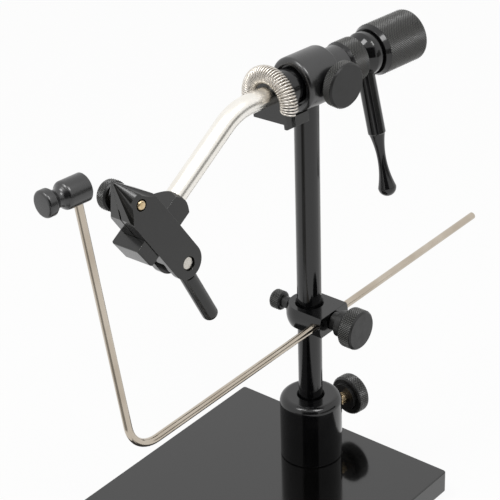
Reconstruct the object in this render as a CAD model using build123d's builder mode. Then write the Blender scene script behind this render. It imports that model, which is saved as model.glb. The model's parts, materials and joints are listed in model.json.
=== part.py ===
from build123d import *
import os
from math import atan, cos, radians, sin, tan

# Rotary fly tying vise on a pedestal base.
# Millimetres, +Z up, floor at z = 0. -Y is the front, where the jaws are, +X the near side.
# The origin lies on the floor in the middle of the whole object's outline.

# Bar stock and fits
stem_diameter = 10.0
shaft_diameter = 7.9375
rod_diameter = 3.175
running_fit = 0.05
seat_fit = 0.03
face_gap = 0.2
overrun = 6.0

# Base plate, feet and the screw under the socket
plate_width = 108.4
plate_depth = 152.4
plate_thickness = 9.525
plate_back = 21.75
plate_corner = 1.5
plate_bevel = 0.35
foot_radius = 6.5
foot_height = 3.2
foot_inset = 9.5
foot_bevel = 0.6
bolt_radius = 2.9
bolt_clearance = 0.2
bolt_head_radius = 5.6
bolt_head_depth = 2.8
bolt_engagement = 5.4
bolt_key_radius = 2.0
bolt_key_depth = 1.6

# Stem socket and its lock
socket_radius = 13.0
socket_height = 29.0
socket_floor = 7.2
socket_round = 3.0
socket_foot_bevel = 0.4
socket_mouth_bevel = 0.85
socket_lock_height = 17.8
socket_lock_yaw = 8.5
socket_screw_radius = 2.4
socket_knob_radius = 8.4
socket_knob_near = 20.6
socket_knob_far = 26.5
socket_knob_ring_radius = 6.0
socket_knob_ring = 1.3
socket_knob_wall = 2.0
knob_bevel = 0.6

# Cradle block on the stem, with its two screws
cradle_height = 69.27
block_bar_radius = 9.5
block_thickness = 8.75
block_end = 12.4
block_mouth_bevel = 1.1
rod_offset = 9.0
stem_screw_radius = 1.5
stem_screw_neck_radius = 2.5
stem_screw_neck_start = 9.9
stem_screw_knob_radius = 3.9
stem_screw_knob_near = 13.0
stem_screw_knob_far = 18.2
rod_screw_radius = 2.0
rod_neck_radius = 4.0
rod_collar_radius = 5.6
rod_collar_start = 16.0
rod_knob_radius = 8.1
rod_knob_near = 19.7
rod_knob_far = 26.3
rod_screw_end = 24.0

# Cradle rod and bobbin rest
rod_tail = 106.5
rod_corner = 117.87
rod_bend_radius = 15.3
rod_lean = 9.31
rest_height = 186.5
rest_radius = 5.1
rest_half_length = 3.75
rest_shoulder_radius = 4.6
rest_shoulder = 5.6
rest_neck_radius = 2.8
rest_neck = 8.3
rest_disc_root_radius = 4.2
rest_disc_start = 10.7
rest_disc_radius = 4.9
rest_disc_end = 14.2
rest_disc_round = 1.1
rest_bevel = 0.35
rest_rod_depth = 1.9
rest_screw_radius = 1.25
rest_screw_recess = 0.3

# Rotary head: forward distances are measured from the stem axis along the rotary axis
rotary_height = 172.9
rotary_yaw = 7.3
spindle_roll = 6.5
housing_front = 7.0
housing_rear = 9.0
housing_radius = 10.4
housing_rim_round = 2.0
housing_rear_round = 0.8
recess_radius = 8.3
recess_depth = 0.8
sleeve_rear = 17.5
sleeve_radius = 8.1
boss_rear = 24.5
boss_radius = 6.5
bush_radius = 4.9
bush_flange_radius = 8.0
front_bush_rear = 1.2
rear_bush_front = 16.0
stem_top_drop = 5.75
stem_grub_drop = 7.3
stem_grub_radius = 1.2
stem_grub_length = 2.1
head_lock_back = 5.9
head_lock_screw_radius = 2.4
head_lock_radius = 9.0
head_lock_near = 11.2
head_lock_far = 16.2
head_lock_wall = 1.6
ring_rear = 27.0
ring_radius = 8.7
ring_front_radius = 8.0
ring_front_bevel = 1.2
ring_lip = 1.2
washer_thickness = 1.0
washer_play = 0.25

# Rotating pieces on the shaft
collar_front = 16.0
collar_radius = 7.4
collar_round = 1.0
holder_front = 20.7
holder_half_width = 9.0
holder_bottom = 10.2
holder_leg = 1.9
holder_leg_width = 1.5
holder_neck_half_width = 6.4
holder_neck_drop = 1.0
cheek_rear = 9.0
cheek_top = 8.0
spring_forward = 19.7
spring_radius = 10.6
spring_drop = 1.6
spring_coil_radius = 3.2
spring_wire = 0.7
spring_end_drop = 14.0
spring_seat_gap = 0.05
hub_front = 27.2
hub_rear = 35.2
hub_radius = 8.3
hub_round = 0.9
hub_flat_radius = 7.5
hub_flat_lift = 47.0
hub_flat_rim = 0.5
hub_flat_length = 2.8
knob_rear = 58.2
knob_radius = 10.3
knob_front_radius = 9.3
knob_front_bevel = 1.9
shaft_rear = 52.0
grub_radius = 1.5
grub_length = 3.0
grub_key_radius = 0.85
grub_key_depth = 1.4
collar_grub = 11.6
knob_grub = 46.0

# Crank handle: distances are measured from the rotary axis
crank_back = 31.2
crank_lean = 14.4
crank_radius = 3.57
crank_start = 4.6
crank_shoulder = 32.3
crank_step = 0.35
crank_waist = 44.3
crank_waist_radius = 1.8
crank_bulge_radius = 3.7
crank_end = 59.0

# Bend of the shaft and the jaw mount on its lower end: distances from the bend's corner
bend_forward = 37.6
bend_drop = 33.87
bend_radius = 24.0
mount_start = 40.4
mount_end = 67.2
mount_width = 9.8
mount_near = 5.7
mount_far = 8.9
mount_end_radius = 4.2
mount_cone = 6.46
mount_cone_radius = 11.8
mount_cone_near = 1.5
mount_foot_round = 0.8
mount_shaft_depth = 7.3
mount_grub = 3.7
jaw_line = 55.34

# Jaws: distances from the tip along the jaws
jaw_drop = 58.6
jaw_reach = 28.06
jaw_thickness = 6.35
jaw_half_width = 7.0
jaw_rear_centre = 45.5
jaw_shoulder = 13.0
jaw_tip_half_width = 0.6
jaw_tip_thickness = 0.8
nose_length = 10.7
nose_radius = 9.6
scallop_tip_offset = 0.5
scallop_tip_lift = 0.9
scallop_tip_radius = 0.12
scallop_end = 16.0
scallop_end_offset = 11.2
scallop_end_lift = 12.4
scallop_end_radius = 6.5
jaw_fit = 0.05
clamp_gap = 0.06
clamp_land = 8.5
jaw_relief = 0.8
jaw_relief_start = 10.0
pocket_start = 38.9
pocket_depth = 4.2
pad_start = 49.9
pad_half_width = 1.5
pad_depth = 3.0
adjuster = 11.45
adjuster_lift = 0.39
adjuster_radius = 1.85
adjuster_play = 0.5
adjuster_proud = 0.5
adjuster_round = 0.8
adjuster_tail = 0.8
wheel_near = 7.8
wheel_far = 12.6
wheel_radius = 5.7
opener = 21.5
opener_radius = 2.0
opener_wire = 0.5
opener_pocket_radius = 2.5
opener_pocket = 2.0
opener_turns = 4
jaw_screw_radius = 1.5
jaw_screw_depth = 2.6
jaw_screw_head_radius = 2.9
jaw_screw_head = 1.6

# Cam lever and its pin
cam_pin = 46.9
cam_pin_radius = 2.3
cam_pin_play = 0.5
cam_pin_recess = 0.9
cam_hub_radius = 5.4
cam_height = 1.45
cam_rise_share = 0.2
cam_far_gap = 0.15
lever_dip = 7.7
lever_length = 32.2
lever_radius = 3.175
lever_flat = 2.2
lever_root = 3.0
lever_tongue = 8.8
lever_end_round = 2.8

# Worked-out sizes
plate_top = foot_height + plate_thickness
stem_radius = stem_diameter / 2
shaft_radius = shaft_diameter / 2
rod_radius = rod_diameter / 2
rod_top_run = (rest_height - cradle_height) * tan(radians(rod_lean))
rest_forward = rod_corner + rod_top_run
yaw = radians(rotary_yaw)
roll = radians(spindle_roll)
outline_front = rest_forward + rest_disc_end * cos(yaw) + rest_disc_radius * sin(yaw)
stem_y = (outline_front - rod_tail) / 2

# Directions and points
up = Vector(0, 0, 1)
right = Vector(1, 0, 0)
back = Vector(0, 1, 0)
rear = Vector(sin(yaw), cos(yaw), 0)
near = Vector(cos(yaw), -sin(yaw), 0)
forward = rear * -1
far = near * -1
spin_near = near * cos(roll) + up * sin(roll)
spin_up = up * cos(roll) - near * sin(roll)
spin_far = spin_near * -1
stem_foot = Vector(0, stem_y, plate_top)
block_centre = stem_foot + up * cradle_height
head_centre = stem_foot + up * rotary_height
bend_corner = head_centre + forward * bend_forward
shaft_run = forward * cos(radians(bend_drop)) - spin_up * sin(radians(bend_drop))
jaw_run = rear * cos(radians(jaw_drop)) - spin_up * sin(radians(jaw_drop))
jaw_rise = rear * sin(radians(jaw_drop)) + spin_up * cos(radians(jaw_drop))
jaw_tip = bend_corner + shaft_run * jaw_line - jaw_run * jaw_reach
lever_run = jaw_run * cos(radians(lever_dip)) - jaw_rise * sin(radians(lever_dip))
cam_centre = jaw_tip + jaw_run * cam_pin
adjuster_centre = jaw_tip + jaw_run * adjuster + jaw_rise * adjuster_lift
opener_centre = jaw_tip + jaw_run * opener
jaw_screw_centre = jaw_tip + jaw_run * jaw_reach


def bore(origin, direction, start, end, radius, mode=Mode.SUBTRACT):
    """Cut or add a round bar along a direction, between two distances from the origin."""
    with BuildSketch(Plane(origin + direction * start, z_dir=direction)) as disc:
        Circle(radius)
    extrude(disc.sketch, amount=end - start, mode=mode)


def turn(profile, origin, direction, normal=up, rounds=(), mode=Mode.ADD):
    """Turn a closed half-profile of (distance, radius) points about a direction."""
    with BuildSketch(Plane(origin, x_dir=direction, z_dir=normal)) as section:
        with BuildLine():
            Polyline(*profile, close=True)
        make_face()
        for corner, radius in rounds:
            fillet(section.vertices().sort_by_distance(corner)[0], radius)
    revolve(section.sketch, axis=Axis(origin, direction), mode=mode)


def screw_key(origin, direction, end, radius, depth):
    """Cut a hexagon key recess into the end of a screw."""
    with BuildSketch(Plane(origin + direction * end, z_dir=direction)) as key:
        RegularPolygon(radius, side_count=6)
    extrude(key.sketch, amount=-depth, mode=Mode.SUBTRACT)


def grub_screw(origin, direction, start, radius, length):
    """Add a headless set screw that starts at a distance from the origin."""
    bore(origin, direction, start, start + length, radius, Mode.ADD)
    screw_key(origin, direction, start + length, radius * grub_key_share, length * grub_depth_share)


grub_key_share = grub_key_radius / grub_radius
grub_depth_share = grub_key_depth / grub_length

# Base plate with its bevelled edge and the countersunk screw hole
with BuildPart() as base_plate:
    with BuildSketch(Plane.XY.offset(foot_height)):
        with Locations((0, stem_y + plate_back - plate_depth / 2)):
            RectangleRounded(plate_width, plate_depth, plate_corner)
    extrude(amount=plate_thickness)
    chamfer(base_plate.edges().group_by(Axis.Z)[-1], plate_bevel)
    bore(stem_foot, up, -plate_thickness - overrun, overrun, bolt_radius + bolt_clearance)
    turn(
        [
            (-plate_thickness, 0),
            (-plate_thickness, bolt_head_radius + bolt_clearance),
            (bolt_head_depth - plate_thickness, bolt_radius + bolt_clearance),
            (bolt_head_depth - plate_thickness, 0),
        ],
        stem_foot,
        up,
        normal=back,
        mode=Mode.SUBTRACT,
    )

# Rubber feet under the four corners
with BuildPart() as rubber_feet:
    with BuildSketch(Plane.XY):
        with Locations((0, stem_y + plate_back - plate_depth / 2)):
            with GridLocations(plate_width - 2 * foot_inset, plate_depth - 2 * foot_inset, 2, 2):
                Circle(foot_radius)
    extrude(amount=foot_height)
    chamfer(rubber_feet.edges().group_by(Axis.Z)[0], foot_bevel)

# Countersunk screw that holds the socket from under the plate
with BuildPart() as socket_bolt:
    turn(
        [
            (-plate_thickness, 0),
            (-plate_thickness, bolt_head_radius),
            (bolt_head_depth - plate_thickness, bolt_radius),
            (bolt_engagement, bolt_radius),
            (bolt_engagement, 0),
        ],
        stem_foot,
        up,
        normal=back,
    )
    screw_key(stem_foot, up * -1, plate_thickness, bolt_key_radius, bolt_key_depth)

# Stem socket with its stem bore, mouth bevel, screw thread and lock screw hole
socket_lock_run = right * sin(radians(socket_lock_yaw)) + back * cos(radians(socket_lock_yaw))
socket_lock_centre = stem_foot + up * socket_lock_height
stem_bore = stem_radius + running_fit
with BuildPart() as stem_socket:
    turn(
        [
            (0, 0),
            (0, socket_radius - socket_foot_bevel),
            (socket_foot_bevel, socket_radius),
            (socket_height, socket_radius),
            (socket_height, 0),
        ],
        stem_foot,
        up,
        normal=back,
        rounds=[((socket_height, socket_radius), socket_round)],
    )
    bore(stem_foot, up, socket_floor, socket_height + overrun, stem_bore)
    chamfer(stem_socket.edges().group_by(Axis.Z)[-1].sort_by(SortBy.LENGTH)[0], socket_mouth_bevel)
    bore(stem_foot, up, 0, bolt_engagement + face_gap, bolt_radius + seat_fit)
    bore(socket_lock_centre, socket_lock_run, 0, socket_radius + overrun, socket_screw_radius + running_fit)

# Brass lock screw and its knob with the stepped ring
socket_screw_end = socket_knob_far - socket_knob_wall
with BuildPart() as socket_lock_screw:
    bore(
        socket_lock_centre,
        socket_lock_run,
        stem_radius + face_gap,
        socket_screw_end - seat_fit,
        socket_screw_radius,
        Mode.ADD,
    )

with BuildPart() as socket_lock_knob:
    turn(
        [
            (socket_knob_near - socket_knob_ring, 0),
            (socket_knob_near - socket_knob_ring, socket_knob_ring_radius),
            (socket_knob_near, socket_knob_ring_radius),
            (socket_knob_near, socket_knob_radius - knob_bevel),
            (socket_knob_near + knob_bevel, socket_knob_radius),
            (socket_knob_far - knob_bevel, socket_knob_radius),
            (socket_knob_far, socket_knob_radius - knob_bevel),
            (socket_knob_far, 0),
        ],
        socket_lock_centre,
        socket_lock_run,
    )
    bore(socket_lock_centre, socket_lock_run, 0, socket_screw_end, socket_screw_radius + seat_fit)

# Stem from the socket floor up into the head
with BuildPart() as stem:
    bore(stem_foot, up, socket_floor + face_gap, rotary_height - stem_top_drop, stem_radius, Mode.ADD)

# Cradle block: round bar with a ball end, flattened above and below
with BuildPart() as cradle_block:
    with BuildSketch(Plane(block_centre, x_dir=right, z_dir=up)):
        with BuildLine():
            Polyline(
                (-block_bar_radius, 0),
                (block_end, 0),
                (block_end, block_bar_radius),
                (0, block_bar_radius),
            )
            RadiusArc((-block_bar_radius, 0), (0, block_bar_radius), block_bar_radius)
        make_face()
    revolve(axis=Axis(block_centre, right))
    with BuildSketch(Plane(block_centre, z_dir=up)):
        Rectangle(4 * block_bar_radius, 4 * block_bar_radius)
    extrude(amount=block_thickness / 2, both=True, mode=Mode.INTERSECT)
    bore(block_centre, up, -overrun, overrun, stem_bore)
    stem_mouths = cradle_block.edges().filter_by(GeomType.CIRCLE)
    stem_mouths = stem_mouths.filter_by(lambda edge: abs(edge.radius - stem_bore) < seat_fit)
    chamfer(stem_mouths, block_mouth_bevel)
    bore(block_centre + right * rod_offset, back, -2 * overrun, 2 * overrun, rod_radius + running_fit)
    bore(block_centre, right * -1, 0, 2 * overrun, stem_screw_radius + running_fit)
    bore(block_centre, right, rod_offset, block_end + overrun, rod_screw_radius + running_fit)

# Thumbscrew that clamps the block to the stem
with BuildPart() as stem_thumbscrew:
    turn(
        [
            (stem_radius + face_gap, 0),
            (stem_radius + face_gap, stem_screw_radius),
            (stem_screw_neck_start, stem_screw_radius),
            (stem_screw_neck_start, stem_screw_neck_radius),
            (stem_screw_knob_near, stem_screw_neck_radius),
            (stem_screw_knob_near, stem_screw_knob_radius - knob_bevel),
            (stem_screw_knob_near + knob_bevel, stem_screw_knob_radius),
            (stem_screw_knob_far - knob_bevel, stem_screw_knob_radius),
            (stem_screw_knob_far, stem_screw_knob_radius - knob_bevel),
            (stem_screw_knob_far, 0),
        ],
        block_centre,
        right * -1,
    )

# Screw and knob that lock the cradle rod
with BuildPart() as rod_lock_screw:
    bore(
        block_centre,
        right,
        rod_offset + rod_radius + face_gap,
        rod_screw_end - seat_fit,
        rod_screw_radius,
        Mode.ADD,
    )

with BuildPart() as rod_lock_knob:
    turn(
        [
            (block_end + 2 * face_gap, 0),
            (block_end + 2 * face_gap, rod_neck_radius),
            (rod_collar_start, rod_neck_radius),
            (rod_collar_start, rod_collar_radius),
            (rod_knob_near, rod_collar_radius),
            (rod_knob_near, rod_knob_radius - knob_bevel),
            (rod_knob_near + knob_bevel, rod_knob_radius),
            (rod_knob_far - knob_bevel, rod_knob_radius),
            (rod_knob_far, rod_knob_radius - knob_bevel),
            (rod_knob_far, 0),
        ],
        block_centre,
        right,
    )
    bore(block_centre, right, 0, rod_screw_end, rod_screw_radius + seat_fit)

# Cradle rod: level through the block, then bent up to the bobbin rest
rod_level = block_centre + right * rod_offset
rod_rise = up * cos(radians(rod_lean)) - back * sin(radians(rod_lean))
rest_centre = rod_level - back * rest_forward + up * (rest_height - cradle_height)
rod_end = rest_centre + rod_rise * rest_rod_depth
with BuildPart() as cradle_rod:
    with BuildLine():
        FilletPolyline(
            rod_level + back * rod_tail,
            rod_level - back * rod_corner,
            rod_end,
            radius=rod_bend_radius,
        )
    with BuildSketch(Plane(rod_level + back * rod_tail, z_dir=back * -1)):
        Circle(rod_radius)
    sweep()

# Bobbin rest: turned spool with a waist, set across the end of the rod
with BuildPart() as bobbin_rest:
    with BuildSketch(Plane(rest_centre, x_dir=forward, z_dir=up)) as rest_section:
        with BuildLine():
            ThreePointArc(
                (rest_shoulder, rest_shoulder_radius),
                (rest_neck, rest_neck_radius),
                (rest_disc_start, rest_disc_root_radius),
            )
            Polyline(
                (rest_disc_start, rest_disc_root_radius),
                (rest_disc_start, rest_disc_radius),
                (rest_disc_end, rest_disc_radius),
                (rest_disc_end, 0),
                (-rest_half_length, 0),
                (-rest_half_length, rest_radius),
                (rest_half_length, rest_radius),
                (rest_shoulder, rest_shoulder_radius),
            )
        make_face()
        disc_corner = rest_section.vertices().sort_by_distance((rest_disc_end, rest_disc_radius))[0]
        fillet(disc_corner, rest_disc_round)
        rear_corner = rest_section.vertices().sort_by_distance((-rest_half_length, rest_radius))[0]
        chamfer(rear_corner, rest_bevel)
    revolve(axis=Axis(rest_centre, forward))
    bore(rest_centre, rod_rise, -rest_radius - overrun, rest_rod_depth + face_gap, rod_radius + seat_fit)
    bore(rest_centre, rear, 0, rest_half_length + overrun, rest_screw_radius + seat_fit)

rest_screw_start = rod_radius + face_gap
with BuildPart() as rest_set_screw:
    grub_screw(
        rest_centre,
        rear,
        rest_screw_start,
        rest_screw_radius,
        rest_half_length - rest_screw_recess - rest_screw_start,
    )

# Head housing: rounded front rim, bushing recess, rear sleeve and the boss for the drag ring
recess_floor = housing_front - recess_depth
head_lock_centre = head_centre - forward * head_lock_back
stem_grub_centre = head_centre - up * stem_grub_drop
with BuildPart() as head_housing:
    turn(
        [
            (-boss_rear, 0),
            (-boss_rear, boss_radius),
            (-sleeve_rear, boss_radius),
            (-sleeve_rear, sleeve_radius),
            (-housing_rear, sleeve_radius),
            (-housing_rear, housing_radius),
            (housing_front, housing_radius),
            (housing_front, recess_radius),
            (recess_floor, recess_radius),
            (recess_floor, 0),
        ],
        head_centre,
        forward,
        rounds=[
            ((housing_front, housing_radius), housing_rim_round),
            ((-housing_rear, housing_radius), housing_rear_round),
        ],
    )
    bore(head_centre, forward, -boss_rear - overrun, housing_front + overrun, bush_radius + seat_fit)
    bore(head_centre, up, -housing_radius - overrun, face_gap - stem_top_drop, stem_bore)
    bore(head_lock_centre, near, 0, housing_radius + overrun, head_lock_screw_radius + running_fit)
    bore(stem_grub_centre, far, 0, housing_radius + overrun, stem_grub_radius + seat_fit)

with BuildPart() as head_set_screw:
    grub_screw(stem_grub_centre, far, stem_radius + face_gap, stem_grub_radius, stem_grub_length)

# Plain bushings that carry the shaft
bush_bore = shaft_radius + running_fit
with BuildPart() as front_bushing:
    turn(
        [
            (-front_bush_rear, bush_bore),
            (-front_bush_rear, bush_radius),
            (recess_floor, bush_radius),
            (recess_floor, bush_flange_radius),
            (housing_front, bush_flange_radius),
            (housing_front, bush_bore),
        ],
        head_centre,
        forward,
    )

with BuildPart() as rear_bushing:
    turn(
        [
            (-boss_rear, bush_bore),
            (-boss_rear, bush_radius),
            (-rear_bush_front, bush_radius),
            (-rear_bush_front, bush_bore),
        ],
        head_centre,
        forward,
    )

# Screw and knob that lock the rotation
head_screw_end = head_lock_far - head_lock_wall
with BuildPart() as head_lock_screw:
    bore(
        head_lock_centre,
        near,
        shaft_radius + face_gap,
        head_screw_end - seat_fit,
        head_lock_screw_radius,
        Mode.ADD,
    )

with BuildPart() as head_lock_knob:
    turn(
        [
            (head_lock_near, 0),
            (head_lock_near, head_lock_radius - knob_bevel),
            (head_lock_near + knob_bevel, head_lock_radius),
            (head_lock_far - knob_bevel, head_lock_radius),
            (head_lock_far, head_lock_radius - knob_bevel),
            (head_lock_far, 0),
        ],
        head_lock_centre,
        near,
    )
    bore(head_lock_centre, near, 0, head_screw_end, head_lock_screw_radius + seat_fit)

# Drag ring on the housing's boss, and the washer that it presses against the boss
ring_front = sleeve_rear + face_gap
ring_bore = boss_radius + running_fit
lip_bore = shaft_radius + 2 * face_gap
lip_face = ring_rear - ring_lip
with BuildPart() as drag_ring:
    turn(
        [
            (-ring_front, ring_bore),
            (-ring_front, ring_front_radius),
            (-ring_front - ring_front_bevel, ring_radius),
            (knob_bevel - ring_rear, ring_radius),
            (-ring_rear, ring_radius - knob_bevel),
            (-ring_rear, lip_bore),
            (-lip_face, lip_bore),
            (-lip_face, ring_bore),
        ],
        head_centre,
        forward,
    )

washer_front = boss_rear + washer_play
with BuildPart() as drag_washer:
    turn(
        [
            (-washer_front - washer_thickness, shaft_radius + face_gap),
            (-washer_front - washer_thickness, boss_radius - face_gap),
            (-washer_front, boss_radius - face_gap),
            (-washer_front, shaft_radius + face_gap),
        ],
        head_centre,
        forward,
    )

# Rotary shaft: straight through the head, then bent down to the jaw mount
shaft_seat = shaft_radius + seat_fit
shaft_tail = head_centre - forward * shaft_rear
with BuildPart() as rotary_shaft:
    with BuildLine():
        FilletPolyline(
            shaft_tail,
            bend_corner,
            bend_corner + shaft_run * (mount_start + mount_shaft_depth - face_gap),
            radius=bend_radius,
        )
    with BuildSketch(Plane(shaft_tail, z_dir=forward)):
        Circle(shaft_radius)
    sweep()

# Thrust collar in front of the housing
collar_rear = housing_front + face_gap
grub_hole = grub_radius + seat_fit
with BuildPart() as thrust_collar:
    turn(
        [(collar_rear, 0), (collar_rear, collar_radius), (collar_front, collar_radius), (collar_front, 0)],
        head_centre,
        forward,
        rounds=[((collar_front, collar_radius), collar_round)],
    )
    bore(head_centre, forward, 0, collar_front + overrun, shaft_seat)
    bore(head_centre + forward * collar_grub, spin_up, -collar_radius - overrun, 0, grub_hole)

# Spring holder with two sloping shoulders for the ends of the spring and a cheek each side of the collar
spring_slope = tan(radians(spring_end_drop))
holder_rear = collar_front + seat_fit
holder_middle = (holder_front + holder_rear) / 2
leg_end = -holder_bottom - holder_leg
leg_inside = holder_half_width - holder_leg_width
holder_side = [
    (holder_neck_half_width, -holder_neck_drop),
    (holder_neck_half_width, -spring_drop - spring_seat_gap - holder_neck_half_width * spring_slope),
    (holder_half_width, -spring_drop - spring_seat_gap - holder_half_width * spring_slope),
    (holder_half_width, leg_end),
    (leg_inside, leg_end),
    (leg_inside, -holder_bottom),
]
with BuildPart() as spring_holder:
    with BuildSketch(Plane(head_centre + forward * holder_rear, x_dir=spin_near, z_dir=forward)):
        with BuildLine():
            Polyline(*holder_side, *[(-x, y) for x, y in reversed(holder_side)])
            ThreePointArc(
                (-holder_neck_half_width, -holder_neck_drop),
                (0, holder_neck_half_width - holder_neck_drop),
                (holder_neck_half_width, -holder_neck_drop),
            )
        make_face()
    extrude(amount=holder_front - holder_rear)
    with BuildSketch(Plane(head_centre + forward * cheek_rear, x_dir=spin_near, z_dir=forward)):
        with Locations((0, (leg_end - cheek_top) / 2)):
            Rectangle(2 * holder_half_width, -leg_end - cheek_top)
            Rectangle(2 * leg_inside, -leg_end - cheek_top, mode=Mode.SUBTRACT)
    extrude(amount=holder_middle - cheek_rear)
    bore(head_centre, forward, 0, holder_front + overrun, shaft_seat)
    bore(head_centre + forward * holder_middle, spin_up, -holder_bottom - overrun, 0, grub_hole)

# Material spring: close coil bent to an arch over the shaft
arch_centre = head_centre + forward * spring_forward - spin_up * spring_drop
arch_start = spin_near * cos(radians(spring_end_drop)) - spin_up * sin(radians(spring_end_drop))
with BuildPart() as material_spring:
    with BuildSketch(Plane(arch_centre, x_dir=arch_start, z_dir=arch_start.cross(forward))):
        with Locations((spring_radius, 0)):
            Circle(spring_coil_radius)
            Circle(spring_coil_radius - spring_wire, mode=Mode.SUBTRACT)
    revolve(axis=Axis(arch_centre, forward), revolution_arc=180 + 2 * spring_end_drop)

# Crank hub with a milled flat
crank_run = near * sin(radians(crank_lean)) - up * cos(radians(crank_lean))
crank_centre = head_centre - forward * crank_back
flat_normal = near * cos(radians(hub_flat_lift)) + up * sin(radians(hub_flat_lift))
with BuildPart() as crank_hub:
    turn(
        [(-hub_rear, 0), (-hub_rear, hub_radius), (-hub_front, hub_radius), (-hub_front, 0)],
        head_centre,
        forward,
        rounds=[((-hub_front, hub_radius), hub_round)],
    )
    with BuildSketch(Plane(head_centre + flat_normal * hub_flat_radius, x_dir=forward, z_dir=flat_normal)):
        with Locations((-hub_front - hub_flat_rim - hub_flat_length / 2, 0)):
            Rectangle(hub_flat_length, 2 * hub_radius)
    extrude(amount=overrun, mode=Mode.SUBTRACT)
    bore(head_centre, forward, -hub_rear - overrun, 0, shaft_seat)
    bore(crank_centre, crank_run, 0, hub_radius + overrun, crank_radius + seat_fit)
    bore(crank_centre, crank_run * -1, 0, hub_radius + overrun, grub_hole)

# Crank handle: straight bar, waist and bulb end
bulb_centre = crank_end - crank_bulge_radius
with BuildPart() as crank_handle:
    with BuildSketch(Plane(crank_centre, x_dir=crank_run, z_dir=forward)):
        with BuildLine():
            Polyline(
                (crank_end, 0),
                (crank_start, 0),
                (crank_start, crank_radius),
                (crank_shoulder, crank_radius),
                (crank_shoulder + crank_step, crank_radius - crank_step),
            )
            Spline(
                (crank_shoulder + crank_step, crank_radius - crank_step),
                (crank_waist, crank_waist_radius),
                (bulb_centre, crank_bulge_radius),
            )
            RadiusArc((bulb_centre, crank_bulge_radius), (crank_end, 0), crank_bulge_radius)
        make_face()
    revolve(axis=Axis(crank_centre, crank_run))

# Rear knob on the end of the shaft
knob_front = hub_rear + seat_fit
with BuildPart() as rear_knob:
    turn(
        [
            (-knob_rear, 0),
            (-knob_rear, knob_radius - knob_bevel),
            (knob_bevel - knob_rear, knob_radius),
            (-knob_front - knob_front_bevel, knob_radius),
            (-knob_front, knob_front_radius),
            (-knob_front, 0),
        ],
        head_centre,
        forward,
    )
    bore(head_centre, forward, -shaft_rear - face_gap, 0, shaft_seat)
    bore(head_centre - forward * knob_grub, spin_up, -knob_radius - overrun, 0, grub_hole)

# Jaw mount: block with a coned upper end on the shaft, and an open channel for the jaws
mount_centre = (mount_near - mount_far) / 2
mount_grub_centre = bend_corner + shaft_run * (mount_start + mount_grub)
channel_floor = jaw_thickness + jaw_fit
with BuildPart() as jaw_mount:
    with BuildSketch(Plane(bend_corner + shaft_run * mount_start, x_dir=spin_near, z_dir=shaft_run)):
        with Locations((mount_centre, 0)):
            Rectangle(mount_near + mount_far, mount_width)
    extrude(amount=mount_end - mount_start)
    mount_foot = jaw_mount.faces().sort_by(Axis(bend_corner, shaft_run))[-1]
    fillet(mount_foot.edges(), mount_foot_round)
    turn(
        [
            (mount_start, 0),
            (mount_start, mount_end_radius),
            (mount_start + mount_cone, mount_cone_radius),
            (mount_end + overrun, mount_cone_radius),
            (mount_end + overrun, 0),
        ],
        bend_corner + spin_near * mount_cone_near,
        shaft_run,
        normal=spin_near,
        mode=Mode.INTERSECT,
    )
    with BuildSketch(Plane(jaw_tip + spin_far * channel_floor, x_dir=jaw_run, z_dir=spin_near)):
        with Locations((jaw_reach, 0)):
            Rectangle(4 * mount_width, 2 * (jaw_half_width + jaw_fit))
    extrude(amount=channel_floor + mount_near + overrun, mode=Mode.SUBTRACT)
    bore(bend_corner, shaft_run, mount_start - overrun, mount_start + mount_shaft_depth, shaft_seat)
    bore(mount_grub_centre, spin_far, 0, mount_far + overrun, grub_hole)
    bore(jaw_screw_centre, spin_far, 0, mount_far + overrun, jaw_screw_radius + seat_fit)
    bore(
        jaw_screw_centre,
        spin_far,
        mount_far - jaw_screw_head,
        mount_far + overrun,
        jaw_screw_head_radius + seat_fit,
    )

# Set screws that hold collar, spring holder, hub, knob and mount on the shaft
with BuildPart() as shaft_set_screws:
    grub_screw(head_centre + forward * collar_grub, spin_up * -1, shaft_seat, grub_radius, grub_length)
    grub_screw(head_centre + forward * holder_middle, spin_up * -1, shaft_seat, grub_radius, grub_length)
    grub_screw(crank_centre, crank_run * -1, shaft_seat, grub_radius, grub_length)
    grub_screw(head_centre - forward * knob_grub, spin_up * -1, shaft_seat, grub_radius, grub_length)
    grub_screw(mount_grub_centre, spin_far, shaft_seat, grub_radius, grub_length)

# Screw that holds the far jaw in the mount
with BuildPart() as far_jaw_screw:
    bore(
        jaw_screw_centre,
        spin_far,
        jaw_thickness - jaw_screw_depth,
        mount_far - jaw_screw_head,
        jaw_screw_radius,
        Mode.ADD,
    )
    bore(jaw_screw_centre, spin_far, mount_far - jaw_screw_head, mount_far, jaw_screw_head_radius, Mode.ADD)
    screw_key(jaw_screw_centre, spin_far, mount_far, jaw_screw_radius, jaw_screw_head / 2)

jaw_end = jaw_rear_centre + jaw_half_width


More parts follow.
